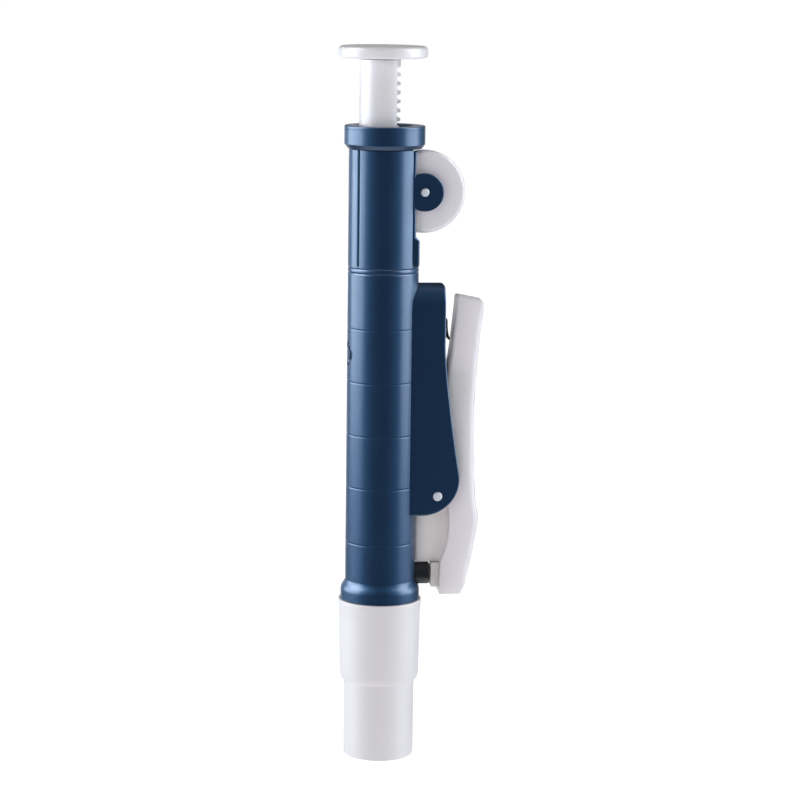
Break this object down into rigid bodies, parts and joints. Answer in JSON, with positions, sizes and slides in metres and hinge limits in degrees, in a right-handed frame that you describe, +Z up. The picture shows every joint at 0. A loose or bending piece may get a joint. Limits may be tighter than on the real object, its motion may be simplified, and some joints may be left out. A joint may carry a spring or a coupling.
{
  "type": "pipette pump",
  "caption": "Hand-held pipette filler: a thumbwheel racks a plunger along a barrel, and a sprung side lever opens a vent above the two-step chuck.",
  "frame": {"origin": "on the surface that the chuck stands on, under the middle of the bounding box; the barrel's axis is 5.85 mm from it towards -X", "axes": "+Z up along the barrel from the chuck to the thumb pad; +X towards the thumbwheel and the release lever; Y across the lever"},
  "size_m": [0.0324, 0.0198, 0.1596],
  "materials": {
    "blue_plastic": "glossy, moulded",
    "white_plastic": "glossy, moulded",
    "wheel_plastic": "satin, faintly translucent",
    "chuck_plastic": "satin",
    "black_rubber": "smooth",
    "pad_rubber": "matt",
    "silicone": "satin, translucent",
    "steel": "polished",
    "spring_steel": "drawn wire"
  },
  "bodies": {
    "pump_body": {"barrel": "blue_plastic", "top_collar": "blue_plastic", "wheel_axle": "steel", "lever_pin": "steel", "vent_nipple": "black_rubber", "chuck_shell": "chuck_plastic", "chuck_sleeve": "silicone", "spigot_ring": "black_rubber", "lever_spring": "spring_steel"},
    "plunger": {"plunger_rod": "white_plastic", "thumb_pad": "white_plastic", "piston_head": "white_plastic", "piston_ring_lower": "black_rubber", "piston_ring_upper": "black_rubber"},
    "wheel": {"thumbwheel": "wheel_plastic"},
    "lever": {"release_lever": "white_plastic", "vent_pad": "pad_rubber"}
  },
  "joints": [
    {"name": "plunger_slide", "type": "slide", "parent": "pump_body", "child": "plunger", "axis": [0, 0, 1], "range_m": [-0.0144, 0.04]},
    {"name": "wheel_spin", "type": "hinge", "parent": "pump_body", "child": "wheel", "pos_m": [0.00271, 0, 0.128], "axis": [0, 1, 0], "range_deg": [-150, 420]},
    {"name": "lever_hinge", "type": "hinge", "parent": "pump_body", "child": "lever", "pos_m": [0.00644, 0, 0.0602], "axis": [0, 1, 0], "range_deg": [-2.8, 0], "stiffness_Nm_per_rad": 0.5, "springref_deg": 8.59, "deforming": ["lever_spring"]}
  ],
  "couplings": [
    {"joint": "wheel_spin", "follows": "plunger_slide", "rad_per_m": 179.01}
  ]
}
